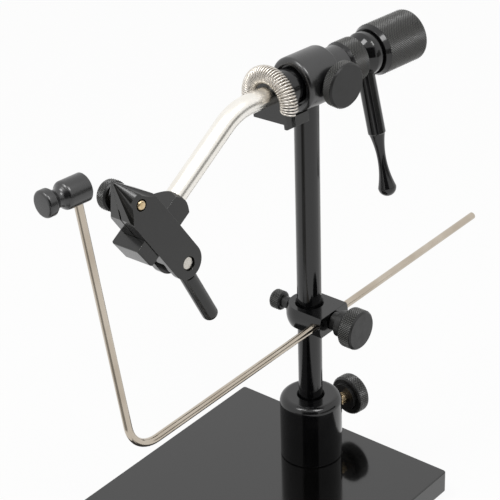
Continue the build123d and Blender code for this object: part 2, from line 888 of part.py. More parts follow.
def jaw_blank(outward):
    """Build one jaw: tapered plan, nose with a coned ridge between two scallops, and a thick body."""
    with BuildPart() as blank:
        with BuildSketch(Plane(jaw_tip, x_dir=jaw_run, z_dir=outward)):
            with BuildLine():
                Polyline(
                    (jaw_rear_centre, -jaw_half_width),
                    (jaw_shoulder, -jaw_half_width),
                    (0, -jaw_tip_half_width),
                    (0, jaw_tip_half_width),
                    (jaw_shoulder, jaw_half_width),
                    (jaw_rear_centre, jaw_half_width),
                )
                ThreePointArc(
                    (jaw_rear_centre, jaw_half_width),
                    (jaw_end, 0),
                    (jaw_rear_centre, -jaw_half_width),
                )
            make_face()
        extrude(amount=jaw_thickness)
        turn(
            [
                (0, 0),
                (0, jaw_tip_thickness),
                (nose_length, nose_radius),
                (jaw_end + overrun, nose_radius),
                (jaw_end + overrun, 0),
            ],
            jaw_tip,
            jaw_run,
            normal=outward,
            mode=Mode.INTERSECT,
        )
        with BuildSketch(Plane(jaw_tip, x_dir=jaw_run, z_dir=outward)):
            Rectangle(4 * jaw_end, 4 * jaw_half_width)
        extrude(amount=clamp_gap, mode=Mode.SUBTRACT)
        for side in (-1, 1):
            tip_centre = jaw_tip + outward * scallop_tip_lift + jaw_rise * (side * scallop_tip_offset)
            end_centre = jaw_tip + outward * scallop_end_lift + jaw_rise * (side * scallop_end_offset)
            with BuildSketch(Plane(tip_centre, z_dir=jaw_run)):
                Circle(scallop_tip_radius)
            with BuildSketch(Plane(end_centre + jaw_run * scallop_end, z_dir=jaw_run)):
                Circle(scallop_end_radius)
            loft(mode=Mode.SUBTRACT)
        bore(opener_centre, outward, 0, opener_pocket, opener_pocket_radius)
        with BuildSketch(Plane(jaw_tip, x_dir=jaw_run, z_dir=outward)):
            with Locations((pocket_start + jaw_rear_centre / 2, 0)):
                Rectangle(jaw_rear_centre, 4 * jaw_half_width)
        extrude(amount=pad_depth, mode=Mode.SUBTRACT)
    return blank.part


# Far jaw, fixed in the mount
with BuildPart() as far_jaw:
    add(jaw_blank(spin_far))
    bore(adjuster_centre, spin_far, 0, jaw_thickness + overrun, adjuster_radius + seat_fit)
    bore(cam_centre, spin_far, 0, jaw_thickness + overrun, cam_pin_radius + seat_fit)
    bore(
        jaw_screw_centre,
        spin_far,
        jaw_thickness - jaw_screw_depth - face_gap,
        jaw_thickness + overrun,
        jaw_screw_radius + seat_fit,
    )

# Near jaw: rocks on the adjusting screw, relieved inside, with a pad that the cam presses
with BuildPart() as near_jaw:
    add(jaw_blank(spin_near))
    with BuildSketch(Plane(jaw_tip, x_dir=jaw_run, z_dir=jaw_run.cross(spin_near))):
        with BuildLine():
            Polyline(
                (clamp_land, 0),
                (jaw_relief_start, jaw_relief),
                (pocket_start + overrun, jaw_relief),
                (pocket_start + overrun, 0),
                close=True,
            )
        make_face()
    extrude(amount=2 * jaw_half_width, both=True, mode=Mode.SUBTRACT)
    bore(opener_centre, spin_near, 0, opener_pocket + jaw_relief, opener_pocket_radius)
    with BuildSketch(Plane(jaw_tip, x_dir=jaw_run, z_dir=spin_near)):
        with Locations((pocket_start + jaw_rear_centre / 2, 0)):
            Rectangle(jaw_rear_centre, 4 * jaw_half_width)
        with Locations((pad_start + jaw_rear_centre / 2, 0)):
            Rectangle(jaw_rear_centre, 2 * pad_half_width, mode=Mode.SUBTRACT)
    extrude(amount=pocket_depth, mode=Mode.SUBTRACT)
    bore(adjuster_centre, spin_near, 0, jaw_thickness + overrun, adjuster_radius + adjuster_play)
    bore(cam_centre, spin_near, 0, jaw_thickness + overrun, cam_pin_radius + cam_pin_play)

# Adjusting screw through both jaws, and the wheel that turns on it
screw_tail = -wheel_far - adjuster_tail
screw_tip = jaw_thickness + adjuster_proud
with BuildPart() as adjusting_screw:
    turn(
        [(screw_tail, 0), (screw_tail, adjuster_radius), (screw_tip, adjuster_radius), (screw_tip, 0)],
        adjuster_centre,
        spin_near,
        normal=spin_up,
        rounds=[((screw_tip, adjuster_radius), adjuster_round)],
    )

with BuildPart() as adjusting_wheel:
    turn(
        [
            (wheel_near, 0),
            (wheel_near, wheel_radius - knob_bevel),
            (wheel_near + knob_bevel, wheel_radius),
            (wheel_far - knob_bevel, wheel_radius),
            (wheel_far, wheel_radius - knob_bevel),
            (wheel_far, 0),
        ],
        adjuster_centre,
        spin_far,
        normal=spin_up,
    )
    bore(adjuster_centre, spin_far, 0, wheel_far + overrun, adjuster_radius + running_fit)

# Small coil spring that opens the jaws
opener_length = 2 * opener_pocket + jaw_relief - 2 * face_gap - opener_wire
opener_start = opener_centre + spin_far * (opener_pocket - face_gap / 2 - opener_wire / 2)
with BuildPart() as jaw_spring:
    with BuildLine() as opener_coil:
        Helix(
            opener_length / opener_turns,
            opener_length,
            opener_radius - opener_wire / 2,
            center=opener_start,
            direction=spin_near,
        )
    with BuildSketch(Plane(opener_coil.line @ 0, z_dir=opener_coil.line % 0)):
        Circle(opener_wire / 2)
    sweep(is_frenet=True)

# Pin that the cam lever turns on
with BuildPart() as lever_pin:
    bore(
        cam_centre,
        spin_near,
        face_gap - jaw_thickness,
        jaw_thickness - cam_pin_recess,
        cam_pin_radius,
        Mode.ADD,
    )

# Cam lever: round handle, thinned to a tongue between the jaws, and a hub whose near face slopes
# so that it is thickest toward the pad while the jaws are shut
cam_far = pad_depth - cam_far_gap
cam_slope = atan(cam_rise_share)
cam_normal = spin_near * cos(cam_slope) - jaw_run * sin(cam_slope)
with BuildPart() as cam_lever:
    turn(
        [(lever_root, 0), (lever_root, lever_radius), (lever_length, lever_radius), (lever_length, 0)],
        cam_centre,
        lever_run,
        normal=spin_near,
        rounds=[((lever_length, lever_radius), lever_end_round)],
    )
    for side, tongue_face in ((spin_near, lever_flat), (spin_far, cam_far)):
        bore(cam_centre, side, tongue_face, overrun, lever_tongue)
    bore(cam_centre, spin_near, -cam_far, overrun, cam_hub_radius, Mode.ADD)
    with BuildSketch(Plane(cam_centre + spin_near * cam_height, x_dir=jaw_rise, z_dir=cam_normal)):
        Circle(2 * cam_hub_radius)
    extrude(amount=2 * overrun, mode=Mode.SUBTRACT)
    bore(cam_centre, spin_near, -overrun, overrun, cam_pin_radius + running_fit)

pieces = {
    "base_plate": base_plate,
    "rubber_feet": rubber_feet,
    "socket_bolt": socket_bolt,
    "stem_socket": stem_socket,
    "socket_lock_screw": socket_lock_screw,
    "socket_lock_knob": socket_lock_knob,
    "stem": stem,
    "cradle_block": cradle_block,
    "stem_thumbscrew": stem_thumbscrew,
    "rod_lock_screw": rod_lock_screw,
    "rod_lock_knob": rod_lock_knob,
    "cradle_rod": cradle_rod,
    "bobbin_rest": bobbin_rest,
    "rest_set_screw": rest_set_screw,
    "head_housing": head_housing,
    "head_set_screw": head_set_screw,
    "front_bushing": front_bushing,
    "rear_bushing": rear_bushing,
    "head_lock_screw": head_lock_screw,
    "head_lock_knob": head_lock_knob,
    "drag_ring": drag_ring,
    "drag_washer": drag_washer,
    "rotary_shaft": rotary_shaft,
    "thrust_collar": thrust_collar,
    "spring_holder": spring_holder,
    "material_spring": material_spring,
    "crank_hub": crank_hub,
    "crank_handle": crank_handle,
    "rear_knob": rear_knob,
    "shaft_set_screws": shaft_set_screws,
    "jaw_mount": jaw_mount,
    "far_jaw_screw": far_jaw_screw,
    "far_jaw": far_jaw,
    "near_jaw": near_jaw,
    "adjusting_screw": adjusting_screw,
    "adjusting_wheel": adjusting_wheel,
    "jaw_spring": jaw_spring,
    "lever_pin": lever_pin,
    "cam_lever": cam_lever,
}

os.makedirs("parts", exist_ok=True)
for label, piece in pieces.items():
    piece.part.label = label
    export_step(piece.part, f"parts/{label}.step")
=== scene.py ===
# %% [markdown]
# # A rotary fly tying vise, dressed for the camera
# The imported part comes in as a fixed frame: every solid is in place, in metres.
# This lesson gives each solid the finish of the real metal. It then adds what the lathe, the saw and the
# winding machine leave: knurled grips, a coil of spring wire, turned forms, a sawn plate and a screw thread.

# %% Load the imported part
import json
import math

import bmesh
import bpy
from mathutils import Matrix, Quaternion, Vector


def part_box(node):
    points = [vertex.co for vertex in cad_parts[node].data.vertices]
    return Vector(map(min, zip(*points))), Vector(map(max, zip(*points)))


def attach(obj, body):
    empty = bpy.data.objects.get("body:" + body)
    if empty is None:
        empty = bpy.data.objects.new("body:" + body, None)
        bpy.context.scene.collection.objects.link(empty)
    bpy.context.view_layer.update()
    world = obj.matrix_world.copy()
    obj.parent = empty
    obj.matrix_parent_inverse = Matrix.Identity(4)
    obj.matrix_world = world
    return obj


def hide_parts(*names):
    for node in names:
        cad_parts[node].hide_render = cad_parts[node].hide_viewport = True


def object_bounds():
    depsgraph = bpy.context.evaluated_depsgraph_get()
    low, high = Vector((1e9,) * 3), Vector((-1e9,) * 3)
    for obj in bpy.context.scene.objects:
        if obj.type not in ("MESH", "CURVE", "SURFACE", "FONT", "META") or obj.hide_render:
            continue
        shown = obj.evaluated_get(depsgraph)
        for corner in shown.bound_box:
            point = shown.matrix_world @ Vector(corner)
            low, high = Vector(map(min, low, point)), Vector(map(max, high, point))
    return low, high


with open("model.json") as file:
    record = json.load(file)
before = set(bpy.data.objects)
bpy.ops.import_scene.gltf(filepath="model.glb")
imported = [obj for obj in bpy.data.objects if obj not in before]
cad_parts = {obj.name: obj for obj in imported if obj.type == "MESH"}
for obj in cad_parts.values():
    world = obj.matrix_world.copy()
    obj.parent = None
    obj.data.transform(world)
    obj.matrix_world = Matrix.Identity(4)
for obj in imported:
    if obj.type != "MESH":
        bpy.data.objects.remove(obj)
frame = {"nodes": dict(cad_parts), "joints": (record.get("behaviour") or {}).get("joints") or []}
nodes = frame["nodes"]
joints = {joint["name"]: joint for joint in frame["joints"]}
cad_low, cad_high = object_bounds()
MM = 0.001

# %% [markdown]
# ## Camera
# A picture from far away with a long lens flattens the object, and one from close by stretches it. The edges
# of the base, the upright stem and the level rod meet at angles that fix the camera's place. So it is written
# down here: a place, a point it looks at, a small tilt and a focal length in pixels of a 500 pixel picture.

# %% Camera at the viewing angle of the picture
picture_pixels = 500
focal_pixels = 1997.8
sensor_mm = 36.0
camera_place = Vector((425.43, -528.16, 505.66)) * MM
camera_aim = Vector((-46.05, 41.51, 86.51)) * MM
camera_tilt = math.radians(-1.81)


def put(name, data):
    """Make an object of a mesh, curve, lamp or camera and link it to the scene."""
    thing = bpy.data.objects.new(name, data)
    bpy.context.scene.collection.objects.link(thing)
    return thing


lens = bpy.data.cameras.new("viewing_camera")
lens.sensor_width = sensor_mm
lens.lens = focal_pixels / picture_pixels * sensor_mm
camera = put("viewing_camera", lens)
camera.location = camera_place
camera.rotation_mode = "QUATERNION"
look = (camera_aim - camera_place).to_track_quat("-Z", "Y")
camera.rotation_quaternion = look @ Quaternion((0, 0, 1), camera_tilt)
bpy.context.scene.camera = camera
print("camera", round((camera_aim - camera_place).length, 3), "m away, lens", round(lens.lens, 1), "mm")

# %% [markdown]
# ## Helpers for colours and shader nodes
# Screens show sRGB values and shaders reckon with linear light, so one function converts each hex value.
# A shader is a small graph. One function adds a node, sets its options, and fills or links its inputs.
# The others join a few such nodes into what every finish here needs: patches, fine relief and worn places.

# %% Colour and node helpers
def colour(hex_code):
    """Turn an sRGB hex value into linear red, green, blue and alpha."""
    shares = [int(hex_code[at : at + 2], 16) / 255 for at in (1, 3, 5)]
    linear = [s / 12.92 if s <= 0.04045 else ((s + 0.055) / 1.055) ** 2.4 for s in shares]
    return (*linear, 1.0)


def add(tree, kind, options, inputs):
    """Add a node: options are its settings, inputs are values or links written as (node, output)."""
    node = tree.nodes.new(kind)
    for option, value in options.items():
        setattr(node, option, value)
    for socket, value in inputs.items():
        if isinstance(value, tuple) and isinstance(value[0], bpy.types.Node):
            source, output = value
            tree.links.new(source.outputs[output], node.inputs[socket])
        else:
            node.inputs[socket].default_value = value
    return node


def per_metre(size_mm):
    """Scale of a pattern whose features are this many millimetres wide."""
    return 1 / (size_mm * MM)


print("mid grey #808080 is", round(colour("#808080")[0], 3), "in linear light")

# %% Start a finish and let it vary
patch_low, patch_high = 0.35, 0.65
patch_detail = 5.0


def start_finish(name, metallic, ior=1.5):
    """Make a material and hand back its graph, its main shader and the object's own coordinates."""
    material = bpy.data.materials.new(name)
    material.use_nodes = True
    tree = material.node_tree
    shader = tree.nodes["Principled BSDF"]
    shader.inputs["Metallic"].default_value = metallic
    shader.inputs["IOR"].default_value = ior
    place = add(tree, "ShaderNodeTexCoord", {}, {})
    return material, tree, shader, place


def mottle(tree, shader, place, size_mm, colours, roughness):
    """Let colour and roughness wander between two values over patches of a real size."""
    patches = add(
        tree,
        "ShaderNodeTexNoise",
        {},
        {"Vector": (place, "Object"), "Scale": per_metre(size_mm), "Detail": patch_detail},
    )
    shade = add(tree, "ShaderNodeValToRGB", {}, {"Fac": (patches, "Fac")})
    stops = zip(shade.color_ramp.elements, (patch_low, patch_high), colours)
    for stop, position, hex_code in stops:
        stop.position = position
        stop.color = colour(hex_code)
    gloss = add(
        tree,
        "ShaderNodeMapRange",
        {},
        {
            "Value": (patches, "Fac"),
            "From Min": patch_low,
            "From Max": patch_high,
            "To Min": roughness[0],
            "To Max": roughness[1],
        },
    )
    tree.links.new(shade.outputs["Color"], shader.inputs["Base Color"])
    tree.links.new(gloss.outputs["Result"], shader.inputs["Roughness"])


# %% Relief, wear and painted highlights
# A Mix node set to colours keeps them on its inputs 6 and 7 and gives the blend on its output 2.
edge_samples = 6
mix_share, mix_under, mix_over, mix_result = 0, 6, 7, 2


def relief(tree, shader, place, grain_mm, detail, depth_mm, strength, edge_mm):
    """Give the surface a fine grain of a size in millimetres, and round off sharp edges to the eye."""
    grain = add(
        tree,
        "ShaderNodeTexNoise",
        {},
        {"Vector": (place, "Object"), "Scale": per_metre(grain_mm), "Detail": detail},
    )
    edge = add(tree, "ShaderNodeBevel", {"samples": edge_samples}, {"Radius": edge_mm * MM})
    bump = add(
        tree,
        "ShaderNodeBump",
        {},
        {
            "Height": (grain, "Fac"),
            "Distance": depth_mm * MM,
            "Strength": strength,
            "Normal": (edge, "Normal"),
        },
    )
    tree.links.new(bump.outputs["Normal"], shader.inputs["Normal"])


def pale_marks_and_sheen(tree, shader, where, limits, hex_code, share):
    """Blend the base colour towards a paler one where a value runs between two limits: dust, wear and painted
    highlights.
    """
    pale_share = add(
        tree,
        "ShaderNodeMapRange",
        {},
        {"Value": where, "From Min": limits[0], "From Max": limits[1], "To Min": 0.0, "To Max": share},
    )
    link = shader.inputs["Base Color"].links[0]
    under = (link.from_node, link.from_socket.name)
    blend = {mix_share: (pale_share, "Result"), mix_under: under, mix_over: colour(hex_code)}
    paler = add(tree, "ShaderNodeMix", {"data_type": "RGBA"}, blend)
    tree.links.new(paler.outputs[mix_result], shader.inputs["Base Color"])


# %% [markdown]
# ## Black finishes
# Almost everything on this vise is black, so the finishes are told apart by how they mirror the white room.
# The base is sprayed and baked enamel that mirrors like a dark window. Anodised turnings are a bit softer.
# The jaws are steel dipped in a black oxide bath: flatter, a little grey, with a grind grain under it.
# Photographed textures would be tied to one light, so each finish is a graph of noise sized in millimetres.

# %% Baked enamel of the base plate
# Sprayed and baked enamel: a smooth dark film with a faint orange-peel ripple and hazy wiping marks, so the
# mirror image of the socket is clear near its foot. A few grains of dust lie on it. Real dust is finer than a
# pixel, so the grains are drawn about 0.3 mm wide, as coarse as they need to be to show.
enamel, tree, shader, place = start_finish("black_baked_enamel", metallic=0.0, ior=1.68)
mottle(tree, shader, place, size_mm=28.0, colours=("#060606", "#0A0A0A"), roughness=(0.05, 0.12))
dust_spacing_mm = 7.0
dust_width_mm = 0.3
dust_reach = dust_width_mm / 2 / dust_spacing_mm
dust_core = 0.6 * dust_reach
grains = add(
    tree,
    "ShaderNodeTexVoronoi",
    {},
    {"Vector": (place, "Object"), "Scale": per_metre(dust_spacing_mm)},
)
pale_marks_and_sheen(tree, shader, (grains, "Distance"), limits=(dust_reach, dust_core), hex_code="#9A9994", share=0.6)
relief(tree, shader, place, grain_mm=3.0, detail=1.0, depth_mm=0.006, strength=0.2, edge_mm=0.3)
print("made", enamel.name)

# %% Anodised aluminium of the turned parts
# Anodised and dyed aluminium: a thin glassy oxide film over a fine turned finish, so it mirrors softly.
# Turning marks are a tenth of a millimetre apart or less, and are drawn 0.6 mm wide to show at all.
anodised, tree, shader, place = start_finish("black_anodised_aluminium", metallic=0.0, ior=1.55)
mottle(tree, shader, place, size_mm=9.0, colours=("#070708", "#0D0D0E"), roughness=(0.1, 0.17))
relief(tree, shader, place, grain_mm=0.6, detail=2.0, depth_mm=0.002, strength=0.2, edge_mm=0.25)
print("made", anodised.name)

# %% Bead blasted and anodised rest and housing
# A dyed film of aluminium oxide over a bead blasted surface: the mirror breaks up into broad soft bands of
# light. Its IOR is that of the solid oxide, higher than on the turnings, because these bands are brighter.
# Bead marks are finer than a pixel, so they are drawn 0.3 mm wide.
satin, tree, shader, place = start_finish("satin_anodised_aluminium", metallic=0.0, ior=1.77)
mottle(tree, shader, place, size_mm=9.0, colours=("#0B0B0C", "#121213"), roughness=(0.25, 0.32))
relief(tree, shader, place, grain_mm=0.3, detail=2.0, depth_mm=0.003, strength=0.25, edge_mm=0.25)
print("made", satin.name)

# %% Black oxide on the ground steel of jaws, mount and lever
# Black oxide on ground steel: a dark film that keeps the grind grain. Edges are painted paler grey: partly
# wear where the film rubs through, partly a painted highlight. An edge is where the rounded normal leaves the
# flat one. The grain is finer than a pixel, so it is drawn 0.35 mm wide.
oxide, tree, shader, place = start_finish("black_oxide_steel", metallic=0.0, ior=1.55)
mottle(tree, shader, place, size_mm=6.0, colours=("#141413", "#1B1B1A"), roughness=(0.14, 0.22))
edge_round_mm = 0.2
edge = add(tree, "ShaderNodeBevel", {"samples": edge_samples}, {"Radius": edge_round_mm * MM})
flat = add(tree, "ShaderNodeNewGeometry", {}, {})
normals = {0: (edge, "Normal"), 1: (flat, "Normal")}
bend = add(tree, "ShaderNodeVectorMath", {"operation": "DOT_PRODUCT"}, normals)
# Painted highlight and rubbed-through film along the edges: paler grey where the normals part.
pale_marks_and_sheen(tree, shader, (bend, "Value"), limits=(0.99, 0.85), hex_code="#6A6966", share=0.7)
relief(tree, shader, place, grain_mm=0.35, detail=3.0, depth_mm=0.003, strength=0.25, edge_mm=edge_round_mm)
print("made", oxide.name)

# %% Blackened steel of the small knobs
# The small knobs are blackened after turning: dark and satin, so a lamp gives their flat ends a grey sheen.
# Their grit is finer than a pixel, so it is drawn 0.4 mm wide.
blackened, tree, shader, place = start_finish("blackened_steel", metallic=0.0)
mottle(tree, shader, place, size_mm=2.5, colours=("#101010", "#191918"), roughness=(0.34, 0.46))
relief(tree, shader, place, grain_mm=0.4, detail=2.0, depth_mm=0.004, strength=0.25, edge_mm=0.2)
print("made", blackened.name)

# %% Crests of the knurl: rubbed paler, with a painted highlight
# A rolled knurl is blackened with its knob. Crests are painted paler: finger polish and a painted highlight.
# The sleeves made further on carry a value named crest: 1 at each tip and 0 in the grooves.
crest, tree, shader, place = start_finish("black_knurl_worn_and_sheen_crests", metallic=0.0)
mottle(tree, shader, place, size_mm=2.5, colours=("#080808", "#101010"), roughness=(0.26, 0.38))
tips = add(tree, "ShaderNodeAttribute", {"attribute_name": "crest"}, {})
# Painted highlight on every tip, together with the finger polish: a paler colour in place of light.
pale_marks_and_sheen(tree, shader, (tips, "Fac"), limits=(0.2, 1.0), hex_code="#8A8A86", share=0.75)
print("made", crest.name)

# %% [markdown]
# ## Bright metals
# A metal has almost no colour of its own surface: it is the tint of its mirror image. The level rod is drawn
# stainless steel with a warm tint, the shaft is buffed, the spring wire is nickel plated, and the screws are
# brass. A metallic shader gives that at once, and roughness sets how far the mirror image blurs.

# %% Drawn stainless steel of the cradle rod
# Drawn stainless bar: warm grey, mirrored in long streaks, with a slight haze from the drawing die.
stainless, tree, shader, place = start_finish("drawn_stainless_steel", metallic=1.0)
mottle(tree, shader, place, size_mm=14.0, colours=("#B6AB9C", "#C4BAAC"), roughness=(0.08, 0.15))
relief(tree, shader, place, grain_mm=0.8, detail=2.0, depth_mm=0.0015, strength=0.2, edge_mm=0.2)
print("made", stainless.name)

# %% Buffed steel of the rotary shaft
# Buffed and plated steel: bright and a touch warm, with a haze that blurs what it mirrors.
buffed, tree, shader, place = start_finish("buffed_plated_steel", metallic=1.0)
mottle(tree, shader, place, size_mm=10.0, colours=("#F0ECE4", "#F7F4EE"), roughness=(0.22, 0.3))
relief(tree, shader, place, grain_mm=1.2, detail=2.0, depth_mm=0.0015, strength=0.2, edge_mm=0.2)
print("made", buffed.name)

# %% Nickel plate of the spring wire
# Nickel plated spring wire: bright and satin, a little yellowish, and dark where the turns shade each other.
nickel, tree, shader, place = start_finish("nickel_plated_wire", metallic=1.0)
mottle(tree, shader, place, size_mm=1.5, colours=("#D2CCC3", "#E6E1DA"), roughness=(0.28, 0.38))
print("made", nickel.name)

# %% Brass of the adjusting and lock screws
# Turned brass: a pale yellow mirror, softly blurred, with a little tarnish in small patches.
brass, tree, shader, place = start_finish("turned_brass", metallic=1.0)
mottle(tree, shader, place, size_mm=1.2, colours=("#C4AB82", "#E2CDA8"), roughness=(0.18, 0.32))
print("made", brass.name)

# %% Bright steel of pins and screws
# Plain ground steel: light grey with a trace of warmth, about as hazy as the buffed shaft and less bright.
steel, tree, shader, place = start_finish("ground_steel", metallic=1.0)
mottle(tree, shader, place, size_mm=0.9, colours=("#C2BDB4", "#DAD6CF"), roughness=(0.22, 0.36))
print("made", steel.name)

# %% [markdown]
# ## Hidden and soft materials
# The shaft runs in a sintered bronze bush, the drag washer is nylon, and the feet are moulded rubber.
# They hardly show, but a part from the library may be seen from below or taken apart.

# %% Bronze, nylon and rubber
# Sintered bronze is brown and dull, nylon is milky and waxy, and moulded rubber is black and dull.
bronze, tree, shader, place = start_finish("sintered_bronze", metallic=1.0)
mottle(tree, shader, place, size_mm=0.8, colours=("#7A5836", "#9A7448"), roughness=(0.4, 0.55))
nylon, tree, shader, place = start_finish("natural_nylon", metallic=0.0, ior=1.53)
mottle(tree, shader, place, size_mm=3.0, colours=("#D8D5CA", "#E4E1D8"), roughness=(0.4, 0.5))
rubber, tree, shader, place = start_finish("moulded_black_rubber", metallic=0.0, ior=1.52)
mottle(tree, shader, place, size_mm=2.0, colours=("#101010", "#191919"), roughness=(0.7, 0.85))
print("made", bronze.name, nylon.name, rubber.name)

# %% Give every solid its finish
finishes = {
    enamel: ["base_plate"],
    anodised: [
        "stem_socket", "stem", "cradle_block", "front_bushing", "thrust_collar", "crank_hub",
        "crank_handle", "drag_ring", "rear_knob",
    ],
    satin: ["bobbin_rest", "head_housing"],
    oxide: ["jaw_mount", "far_jaw", "near_jaw", "cam_lever", "spring_holder"],
    blackened: [
        "socket_lock_knob", "stem_thumbscrew", "rod_lock_knob", "head_lock_knob", "adjusting_wheel",
    ],
    stainless: ["cradle_rod"],
    buffed: ["rotary_shaft"],
    nickel: ["material_spring", "jaw_spring"],
    brass: ["socket_lock_screw", "adjusting_screw"],
    steel: [
        "socket_bolt", "rod_lock_screw", "rest_set_screw", "head_set_screw", "head_lock_screw",
        "shaft_set_screws", "far_jaw_screw", "lever_pin",
    ],
    bronze: ["rear_bushing"],
    nylon: ["drag_washer"],
    rubber: ["rubber_feet"],
}
for material, names in finishes.items():
    for name in names:
        nodes[name].data.materials.clear()
        nodes[name].data.materials.append(material)
print("finished", sum(len(names) for names in finishes.values()), "of", len(nodes), "solids")

# %% [markdown]
# ## Knurled grips
# A knurling tool rolls two sets of slanted grooves into a turned knob and leaves rows of small pyramids.
# A bump map would give the shading but a smooth outline, so the pyramids are real faces here. Each grip is a
# thin closed sleeve: a grid whose points are, in turn, groove crossings and pyramid tips.

# %% Make pieces and measure turned solids
same_radius = 0.01 * MM


def mesh_piece(name, points, faces, material, body):
    """Turn a closed mesh, faces outward, into a piece that rides on a body and takes the finish it is given.
    """
    mesh = bpy.data.meshes.new(name)
    mesh.from_pydata(points, [], faces)
    mesh.materials.append(material)
    shell = bmesh.new()
    shell.from_mesh(mesh)
    bmesh.ops.recalc_face_normals(shell, faces=shell.faces)
    shell.to_mesh(mesh)
    shell.free()
    piece = put(name, mesh)
    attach(piece, body)
    return piece


def turned_band(node, axis, centre):
    """Find the widest cylinder of a turned solid: its start, its end and its radius."""
    points = [vertex.co - centre for vertex in nodes[node].data.vertices]
    rings = [(point.dot(axis), (point - axis * point.dot(axis)).length) for point in points]
    radius = max(ring for along, ring in rings)
    band = [along for along, ring in rings if ring > radius - same_radius]
    return min(band), max(band), radius


# %% Roll a knurl
sleeve_seat = 0.02 * MM
sleeve_root = 0.3 * MM


def knurl(node, joint, body, pitch_mm, depth_mm):
    """Wrap the widest band of a turned solid in a closed sleeve of small pyramids."""
    axis = Vector(joints[joint]["axis"]).normalized()
    centre = Vector(joints[joint]["pos_m"])
    start, end, radius = turned_band(node, axis, centre)
    side = axis.orthogonal().normalized()
    across = axis.cross(side)
    teeth = round(2 * math.pi * radius / (pitch_mm * MM))
    tooth = 2 * math.pi * radius / teeth
    steps = max(2, 2 * round((end - start) / tooth))
    columns = 2 * teeth
    row_places = [start + (end - start) * row / steps for row in range(steps + 1)]
    rings = [(start, radius - sleeve_root, 0.0)]
    rings += [(along, radius + sleeve_seat, depth_mm * MM) for along in row_places]
    rings += [(end, radius - sleeve_root, 0.0)]
    points = []
    tips = []
    for row, (along, base, depth) in enumerate(rings):
        border = row in (1, len(rings) - 2)
        for column in range(columns):
            tip = depth if (row + column) % 2 and not border else 0.0
            angle = math.pi * column / teeth
            spoke = side * math.cos(angle) + across * math.sin(angle)
            points.append(centre + axis * along + spoke * (base + tip))
            tips.append(1.0 if tip else 0.0)
    faces = []
    for row in range(len(rings)):
        above = (row + 1) % len(rings)
        for column in range(columns):
            beside = (column + 1) % columns
            a, b = row * columns + column, row * columns + beside
            c, d = above * columns + beside, above * columns + column
            even = (row + column) % 2 == 0
            faces += [(a, b, c), (a, c, d)] if even else [(a, b, d), (b, c, d)]
    sleeve = mesh_piece(node + "_knurl", points, faces, crest, body)
    sleeve.data.attributes.new("crest", "FLOAT", "POINT").data.foreach_set("value", tips)
    print(sleeve.name, teeth, "teeth,", round(tooth / MM, 2), "mm apart,", len(faces), "faces")


# %% Knurl every grip
# The real knurl is about 0.75 mm fine, one and a half pixels here, so it is drawn about 1 mm wide to show.
# Each row: the solid, the joint whose axis it is turned on, its body, the pitch and the depth in millimetres.
grips = [
    ("rear_knob", "rotary_spin", "rotary", 1.05, 0.3),
    ("drag_ring", "drag_turn", "drag_ring", 1.0, 0.28),
    ("head_lock_knob", "head_lock_turn", "head_lock", 1.05, 0.28),
    ("rod_lock_knob", "rod_lock_turn", "rod_lock", 1.05, 0.28),
    ("socket_lock_knob", "socket_lock_turn", "socket_lock", 1.05, 0.28),
    ("adjusting_wheel", "adjuster_turn", "jaw_adjuster", 1.0, 0.26),
    ("stem_thumbscrew", "block_clamp_turn", "block_clamp", 1.0, 0.24),
]
for node, joint, body, pitch_mm, depth_mm in grips:
    knurl(node, joint, body, pitch_mm, depth_mm)

# %% [markdown]
# ## Material spring
# The spring is a close-wound coil bent over the shaft: its turns touch on the inside of the arch and fan open
# on the outside, where thread is tucked between them. A torus would look like a ring of pipe, so the wire
# itself is drawn: a helix that runs along the arch, made round by the curve's bevel.

# %% Directions of the head
# The spindle stands a little rolled at rest, so what is fixed on it has its own near and up.
spindle = joints["rotary_spin"]
head_centre = Vector(spindle["pos_m"])
rear = Vector(spindle["axis"]).normalized()
spindle_roll = math.radians(6.5)
level_up = Vector((0, 0, 1))
level_near = rear.cross(level_up)
near = level_near * math.cos(spindle_roll) + level_up * math.sin(spindle_roll)
up = level_up * math.cos(spindle_roll) - level_near * math.sin(spindle_roll)
print("head at", [round(value / MM, 1) for value in head_centre], "mm")

# %% Wind the spring wire
arch_radius = 10.4 * MM
arch_drop = 2.1 * MM
arch_end_drop = math.radians(14.0)
arch_forward = 19.7 * MM
coil_radius = 3.55 * MM
wire_radius = 0.32 * MM
coil_turns = 40
points_per_turn = 20
wire_roundness = 2


def wire_piece(name, points, radius, material, body):
    """Draw a round wire through points as a curve that rides on a body."""
    curve = bpy.data.curves.new(name, "CURVE")
    curve.dimensions = "3D"
    curve.bevel_depth = radius
    curve.bevel_resolution = wire_roundness
    curve.use_fill_caps = True
    spline = curve.splines.new("POLY")
    spline.points.add(len(points) - 1)
    for knot, point in zip(spline.points, points):
        knot.co = (*point, 1.0)
    curve.materials.append(material)
    piece = put(name, curve)
    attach(piece, body)
    return piece


arch_centre = head_centre - rear * arch_forward - up * arch_drop
winding = coil_radius - wire_radius
wire_steps = coil_turns * points_per_turn
wire_points = []
for step in range(wire_steps + 1):
    share = step / wire_steps
    turn = -arch_end_drop + (math.pi + 2 * arch_end_drop) * share
    spin = 2 * math.pi * coil_turns * share
    outward = near * math.cos(turn) + up * math.sin(turn)
    reach = arch_radius + winding * math.cos(spin)
    wire_points.append(arch_centre + outward * reach - rear * (winding * math.sin(spin)))
coil = wire_piece("material_spring_coil", wire_points, wire_radius, nickel, "rotary")
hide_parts("material_spring")
print(coil.name, coil_turns, "turns of", round(2 * wire_radius / MM, 2), "mm wire")

# %% [markdown]
# ## Crowned crank hub and housing sleeve
# The crank sits in a hub with a crowned front that mirrors the lamps as small bright patches, and the housing
# is a wide sleeve that ends in a rounded lip round the bushing. Both are lathe work. A screw modifier could
# spin them, but a ring of points for each point of half a profile is as short and leaves a plain closed mesh.
# The housing's set screw would vanish under the sleeve, so a copy of it is moved out.

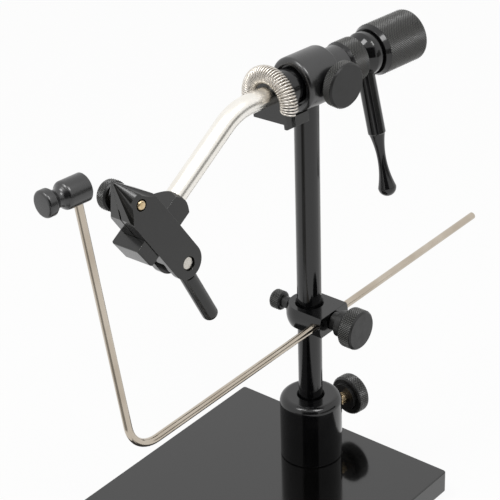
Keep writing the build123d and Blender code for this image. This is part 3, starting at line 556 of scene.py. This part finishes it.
# %% Spin profiles round the shaft
spin_steps = 128
round_steps = 8
sharp_angle = math.radians(35)


def arc(centre, radius, start, end):
    """Points of an arc: its centre, its radius and the angles in degrees where it starts and ends."""
    bearings = [math.radians(start + (end - start) * step / round_steps) for step in range(round_steps + 1)]
    return [(centre[0] + radius * math.cos(b), centre[1] + radius * math.sin(b)) for b in bearings]


def spun_piece(name, profile_mm, centre, material, body):
    """Spin places behind a centre and radii, in millimetres, round a line along the shaft."""
    points = []
    for behind, radius in profile_mm:
        for step in range(spin_steps):
            angle = 2 * math.pi * step / spin_steps
            spoke = level_near * math.cos(angle) + level_up * math.sin(angle)
            points.append(centre + rear * (behind * MM) + spoke * (radius * MM))
    faces = []
    for ring in range(len(profile_mm)):
        this = ring * spin_steps
        after = (ring + 1) % len(profile_mm) * spin_steps
        for step in range(spin_steps):
            beside = (step + 1) % spin_steps
            faces.append((this + step, after + step, after + beside, this + beside))
    piece = mesh_piece(name, points, faces, material, body)
    piece.data.shade_smooth()
    piece.data.set_sharp_from_angle(angle=sharp_angle)
    print(name, len(faces), "faces")
    return piece


# %% Turn the crank hub
hub_front, hub_rear = 27.3, 35.2
hub_bore, hub_root = 4.6, 5.4
hub_widest = (33.0, 8.75)
hub_crown = arc((38.0, -3.0), radius=13.6, start=141, end=124)
hub_rim = arc((31.6, 7.75), radius=1.05, start=118, end=90) + [hub_widest]
hub_rear_edge = arc((34.0, 7.4), radius=1.2, start=75, end=0)
hub_profile = [(hub_front, hub_bore), (hub_front, hub_root)]
hub_profile += hub_crown + hub_rim + hub_rear_edge + [(hub_rear, hub_bore)]
hub = spun_piece("crank_hub_crown", hub_profile, head_centre, anodised, "rotary")
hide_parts("crank_hub")

# %% Turn the housing's sleeve
sleeve_rear, sleeve_bore = 9.02, 9.4
lip_bore = 8.4
lip_front, lip_inside = -8.3, -6.0
sleeve_rear_edge = arc((8.0, 9.98), radius=1.02, start=0, end=90)
sleeve_lip = arc((-6.5, 9.2), radius=1.8, start=90, end=180)
sleeve_profile = [(sleeve_rear, sleeve_bore)] + sleeve_rear_edge + sleeve_lip
sleeve_profile += [(lip_front, lip_bore), (lip_inside, lip_bore)]
spun_piece("housing_sleeve", sleeve_profile, head_centre, satin, "head")

# %% Seat the housing's set screw in the sleeve
# The sleeve would hide the screw on the far side, so a copy of it sits further out, flush with the sleeve.
flush_radius = 11.02 * MM
screw_mesh = nodes["head_set_screw"].data.copy()
screw_points = [vertex.co - head_centre for vertex in screw_mesh.vertices]
screw_reach = max(-point.dot(level_near) for point in screw_points)
screw_height = (min(point.z for point in screw_points) + max(point.z for point in screw_points)) / 2
screw_shift = math.sqrt(flush_radius**2 - screw_height**2) - screw_reach
screw_mesh.transform(Matrix.Translation(-level_near * screw_shift))
set_screw = put("head_set_screw_flush", screw_mesh)
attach(set_screw, "head")
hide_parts("head_set_screw")
print(set_screw.name, "moved out by", round(screw_shift / MM, 2), "mm")

# %% [markdown]
# ## Bobbin rest
# The rest at the top of the cradle rod is turned too: a short barrel, a smooth waist where the bobbin's tube
# lies, and a disc that keeps it there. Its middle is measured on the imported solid, at the disc's flat end.
# Two arcs that meet without a kink give the waist its soft gleam, which straight steps would break up.

# %% Find the middle of the bobbin rest
disc_end = -14.2
same_plane = 0.01 * MM
rest_points = [vertex.co for vertex in nodes["bobbin_rest"].data.vertices]
disc_place = min((point - head_centre).dot(rear) for point in rest_points)
disc_face = [point for point in rest_points if (point - head_centre).dot(rear) < disc_place + same_plane]
face_low = Vector([min(point[axis] for point in disc_face) for axis in range(3)])
face_high = Vector([max(point[axis] for point in disc_face) for axis in range(3)])
rest_centre = (face_low + face_high) / 2 - rear * (disc_end * MM)
print("bobbin rest at", [round(value / MM, 1) for value in rest_centre], "mm")

# %% Turn the bobbin rest
# A hole as fine as a hair along the axis keeps the spun profile a closed ring.
axis_hole = 0.02
screw_hole = 1.3
screw_floor, barrel_end = 1.65, 3.75
barrel_radius, barrel_bevel = 5.1, 0.35
rest_profile = [(screw_floor, axis_hole), (screw_floor, screw_hole), (barrel_end, screw_hole)]
rest_profile += [(barrel_end, barrel_radius - barrel_bevel), (barrel_end - barrel_bevel, barrel_radius)]
rest_shoulder = arc((-4.5, 3.1), radius=2.0, start=90, end=145)
rest_waist = arc((-8.11, 5.62), radius=2.4, start=-35, end=-145)
disc_rear_edge = arc((-11.2, 4.3), radius=0.6, start=60, end=90)
disc_front_edge = arc((-13.1, 3.8), radius=1.1, start=90, end=180)
rest_profile += rest_shoulder + rest_waist + disc_rear_edge + disc_front_edge + [(disc_end, axis_hole)]
rest = spun_piece("bobbin_rest_turned", rest_profile, rest_centre, satin, "cradle_rod")
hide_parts("bobbin_rest")

# %% [markdown]
# ## Spring holder
# A steel plate in front of the collar carries the ends of the spring on two sloping shoulders. It is sawn
# from bar: one outline as thick as the bar, with a cheek each side that reaches back along the collar, and a
# short leg on the near side. Outlines pushed out along the shaft give it the same straight sawn sides.

# %% Saw the spring holder
plate_rear, plate_front = 16.02, 20.7
cheek_rear, cheek_front = 9.0, 18.0
half_width, leg_inside, neck_half = 9.0, 7.5, 6.4
neck_middle, cheek_top, plate_bottom, leg_end = -1.0, -8.0, -10.2, -12.1
shoulder_inner, shoulder_outer = -3.25, -3.89
plate_outline = [
    (neck_half, shoulder_inner),
    (half_width, shoulder_outer),
    (half_width, leg_end),
    (leg_inside, leg_end),
    (leg_inside, plate_bottom),
    (-half_width, plate_bottom),
    (-half_width, shoulder_outer),
    (-neck_half, shoulder_inner),
]
plate_outline += arc((0, neck_middle), radius=neck_half, start=180, end=0)
near_cheek = [(half_width, cheek_top), (half_width, leg_end), (leg_inside, leg_end), (leg_inside, cheek_top)]
far_cheek = [
    (-leg_inside, cheek_top),
    (-leg_inside, plate_bottom),
    (-half_width, plate_bottom),
    (-half_width, cheek_top),
]
bars = [
    (plate_outline, plate_rear, plate_front),
    (near_cheek, cheek_rear, cheek_front),
    (far_cheek, cheek_rear, cheek_front),
]
points = []
faces = []
for outline, start, end in bars:
    first = len(points)
    count = len(outline)
    for ahead in (start, end):
        face_centre = head_centre - rear * (ahead * MM)
        points += [face_centre + near * (x * MM) + up * (y * MM) for x, y in outline]
    faces += [tuple(range(first, first + count)), tuple(range(first + count, first + 2 * count))]
    for corner in range(count):
        after = (corner + 1) % count
        faces.append((first + corner, first + after, first + count + after, first + count + corner))
spring_plate = mesh_piece("spring_holder_plate", points, faces, oxide, "rotary")
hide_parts("spring_holder")
print(spring_plate.name, len(faces), "faces")

# %% [markdown]
# ## Screw thread
# Between socket and knob a short stretch of the brass lock screw shows. A thread is a ridge wound round the
# bar. Cutting it out of the bar needs many faces, so a thin wire follows a helix on its surface, sunk in
# until only a low ridge stands out.

# %% Cut the thread on the socket's lock screw
thread_pitch = 0.8 * MM
thread_ridge = 0.2 * MM
thread_gap = 0.4 * MM
lock = joints["socket_lock_turn"]
lock_axis = Vector(lock["axis"]).normalized()
lock_centre = Vector(lock["pos_m"])
socket_low, socket_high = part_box("stem_socket")
socket_radius = (socket_high.x - socket_low.x) / 2
knob_points = [vertex.co - lock_centre for vertex in nodes["socket_lock_knob"].data.vertices]
thread_start = socket_radius + thread_gap
thread_end = min(point.dot(lock_axis) for point in knob_points) - thread_gap
*_, screw_radius = turned_band("socket_lock_screw", lock_axis, lock_centre)
side = lock_axis.orthogonal().normalized()
across = lock_axis.cross(side)
ridge_points = []
for step in range(round((thread_end - thread_start) / thread_pitch * points_per_turn) + 1):
    along = thread_start + step * thread_pitch / points_per_turn
    angle = 2 * math.pi * step / points_per_turn
    spoke = side * math.cos(angle) + across * math.sin(angle)
    ridge_points.append(lock_centre + lock_axis * along + spoke * (screw_radius - thread_ridge / 2))
thread = wire_piece("socket_lock_thread", ridge_points, thread_ridge, brass, "socket_lock")
print(thread.name, "on", round((thread_end - thread_start) / MM, 1), "mm of the screw")

# %% [markdown]
# ## Room and light
# The vise stands on a white sheet in a white room. Two soft lamps, high on the left and on the right, give it
# shape. More light would whiten the sheet but bleach the part. So a Light Path node tells which ray asks: the
# lens and the mirrors in the metal are shown white, and the lamps light the part at a plain level.

# %% Floor
# The sheet glows by this share to the eye and is plain paper for the rest, which keeps the part's shadow.
room_half = 4.0
sheet_glow_share = 0.93


def seen_directly(tree):
    """Give 1 to rays of the lens, of mirrors and of glass, and 0 to the rays that light the part."""
    path = add(tree, "ShaderNodeLightPath", {}, {})
    pair = {0: (path, "Is Camera Ray"), 1: (path, "Is Glossy Ray")}
    seen = add(tree, "ShaderNodeMath", {"operation": "MAXIMUM"}, pair)
    pair = {0: (seen, 0), 1: (path, "Is Transmission Ray")}
    return add(tree, "ShaderNodeMath", {"operation": "MAXIMUM"}, pair)


floor_mesh = bpy.data.meshes.new("floor")
corners = [(x * room_half, y * room_half, 0) for x, y in ((-1, -1), (1, -1), (1, 1), (-1, 1))]
floor_mesh.from_pydata(corners, [], [(0, 1, 2, 3)])
floor = put("floor", floor_mesh)
sheet = bpy.data.materials.new("white_paper_sheet")
sheet.use_nodes = True
tree = sheet.node_tree
tree.nodes.clear()
paper = add(tree, "ShaderNodeBsdfDiffuse", {}, {"Color": colour("#F2F2F0")})
glow = add(tree, "ShaderNodeEmission", {}, {"Color": colour("#FFFFFF"), "Strength": 1.0})
seen = seen_directly(tree)
lift = add(tree, "ShaderNodeMath", {"operation": "MULTIPLY"}, {0: (seen, 0), 1: sheet_glow_share})
blend = add(tree, "ShaderNodeMixShader", {}, {0: (lift, 0), 1: (paper, 0), 2: (glow, 0)})
add(tree, "ShaderNodeOutputMaterial", {}, {"Surface": (blend, 0)})
floor_mesh.materials.append(sheet)
print("floor", 2 * room_half, "m wide")

# %% World
ambient = 0.45
world = bpy.data.worlds.new("white_room")
world.use_nodes = True
bpy.context.scene.world = world
tree = world.node_tree
tree.nodes.clear()
seen = seen_directly(tree)
raise_to_white = {0: (seen, 0), 1: 1 - ambient, 2: ambient}
level = add(tree, "ShaderNodeMath", {"operation": "MULTIPLY_ADD"}, raise_to_white)
room = add(tree, "ShaderNodeBackground", {}, {"Color": colour("#FFFFFF"), "Strength": (level, 0)})
add(tree, "ShaderNodeOutputWorld", {}, {"Surface": (room, 0)})
bpy.context.scene.view_settings.view_transform = "Standard"
print("room at", ambient, "for soft light and 1 for mirrors")

# %% Dark cards
# Product shots of black metal use grey and black cards: only their mirror image shows, as dark bands between
# the bright ones. The lens doesn't see them, and they cast no shadow on the part and give it no light.
# Each row: the card's name, its shade and its four corners in metres.
card_lift = 0.0005
felt_roughness = 0.9
front_corners = [(-0.06, -0.16), (-0.55, -2), (0.5, -2), (0.05, -0.16)]
cards = [
    ("front_card", "#A4A4A2", [(x, y, card_lift) for x, y in front_corners]),
    ("side_card", "#A4A4A2", [(1.3, -0.5, 0), (0.9, 0.9, 0), (0.9, 0.9, 0.45), (1.3, -0.5, 0.45)]),
    ("camera_card", "#404040", [(0.15, -1.5, 0), (1.25, -0.6, 0), (1.25, -0.6, 1.3), (0.15, -1.5, 1.3)]),
]
for name, shade, corners in cards:
    felt = bpy.data.materials.new(name + "_felt")
    felt.use_nodes = True
    shader = felt.node_tree.nodes["Principled BSDF"]
    shader.inputs["Base Color"].default_value = colour(shade)
    shader.inputs["Roughness"].default_value = felt_roughness
    mesh = bpy.data.meshes.new(name)
    mesh.from_pydata(corners, [], [(0, 1, 2, 3)])
    mesh.materials.append(felt)
    card = put(name, mesh)
    card.visible_camera = False
    card.visible_diffuse = False
    card.visible_shadow = False
print("placed", len(cards), "dark cards")

# %% Lamps
# Each row: the lamp's name, its place from the middle of the part, its width, both in metres, and its watts.
middle = (cad_low + cad_high) / 2
lamps = [
    ("left_lamp", (-0.19, -0.51, 1.02), 0.4, 4.0),
    ("right_lamp", (0.53, -0.1, 1.02), 0.4, 4.0),
]
for name, offset, width, watts in lamps:
    lamp = bpy.data.lights.new(name, "AREA")
    lamp.size = width
    lamp.energy = watts
    softbox = put(name, lamp)
    softbox.location = middle + Vector(offset)
    softbox.rotation_mode = "QUATERNION"
    softbox.rotation_quaternion = (-Vector(offset)).to_track_quat("-Z", "Y")
    softbox.visible_camera = False
print("lit by", len(lamps), "lamps")
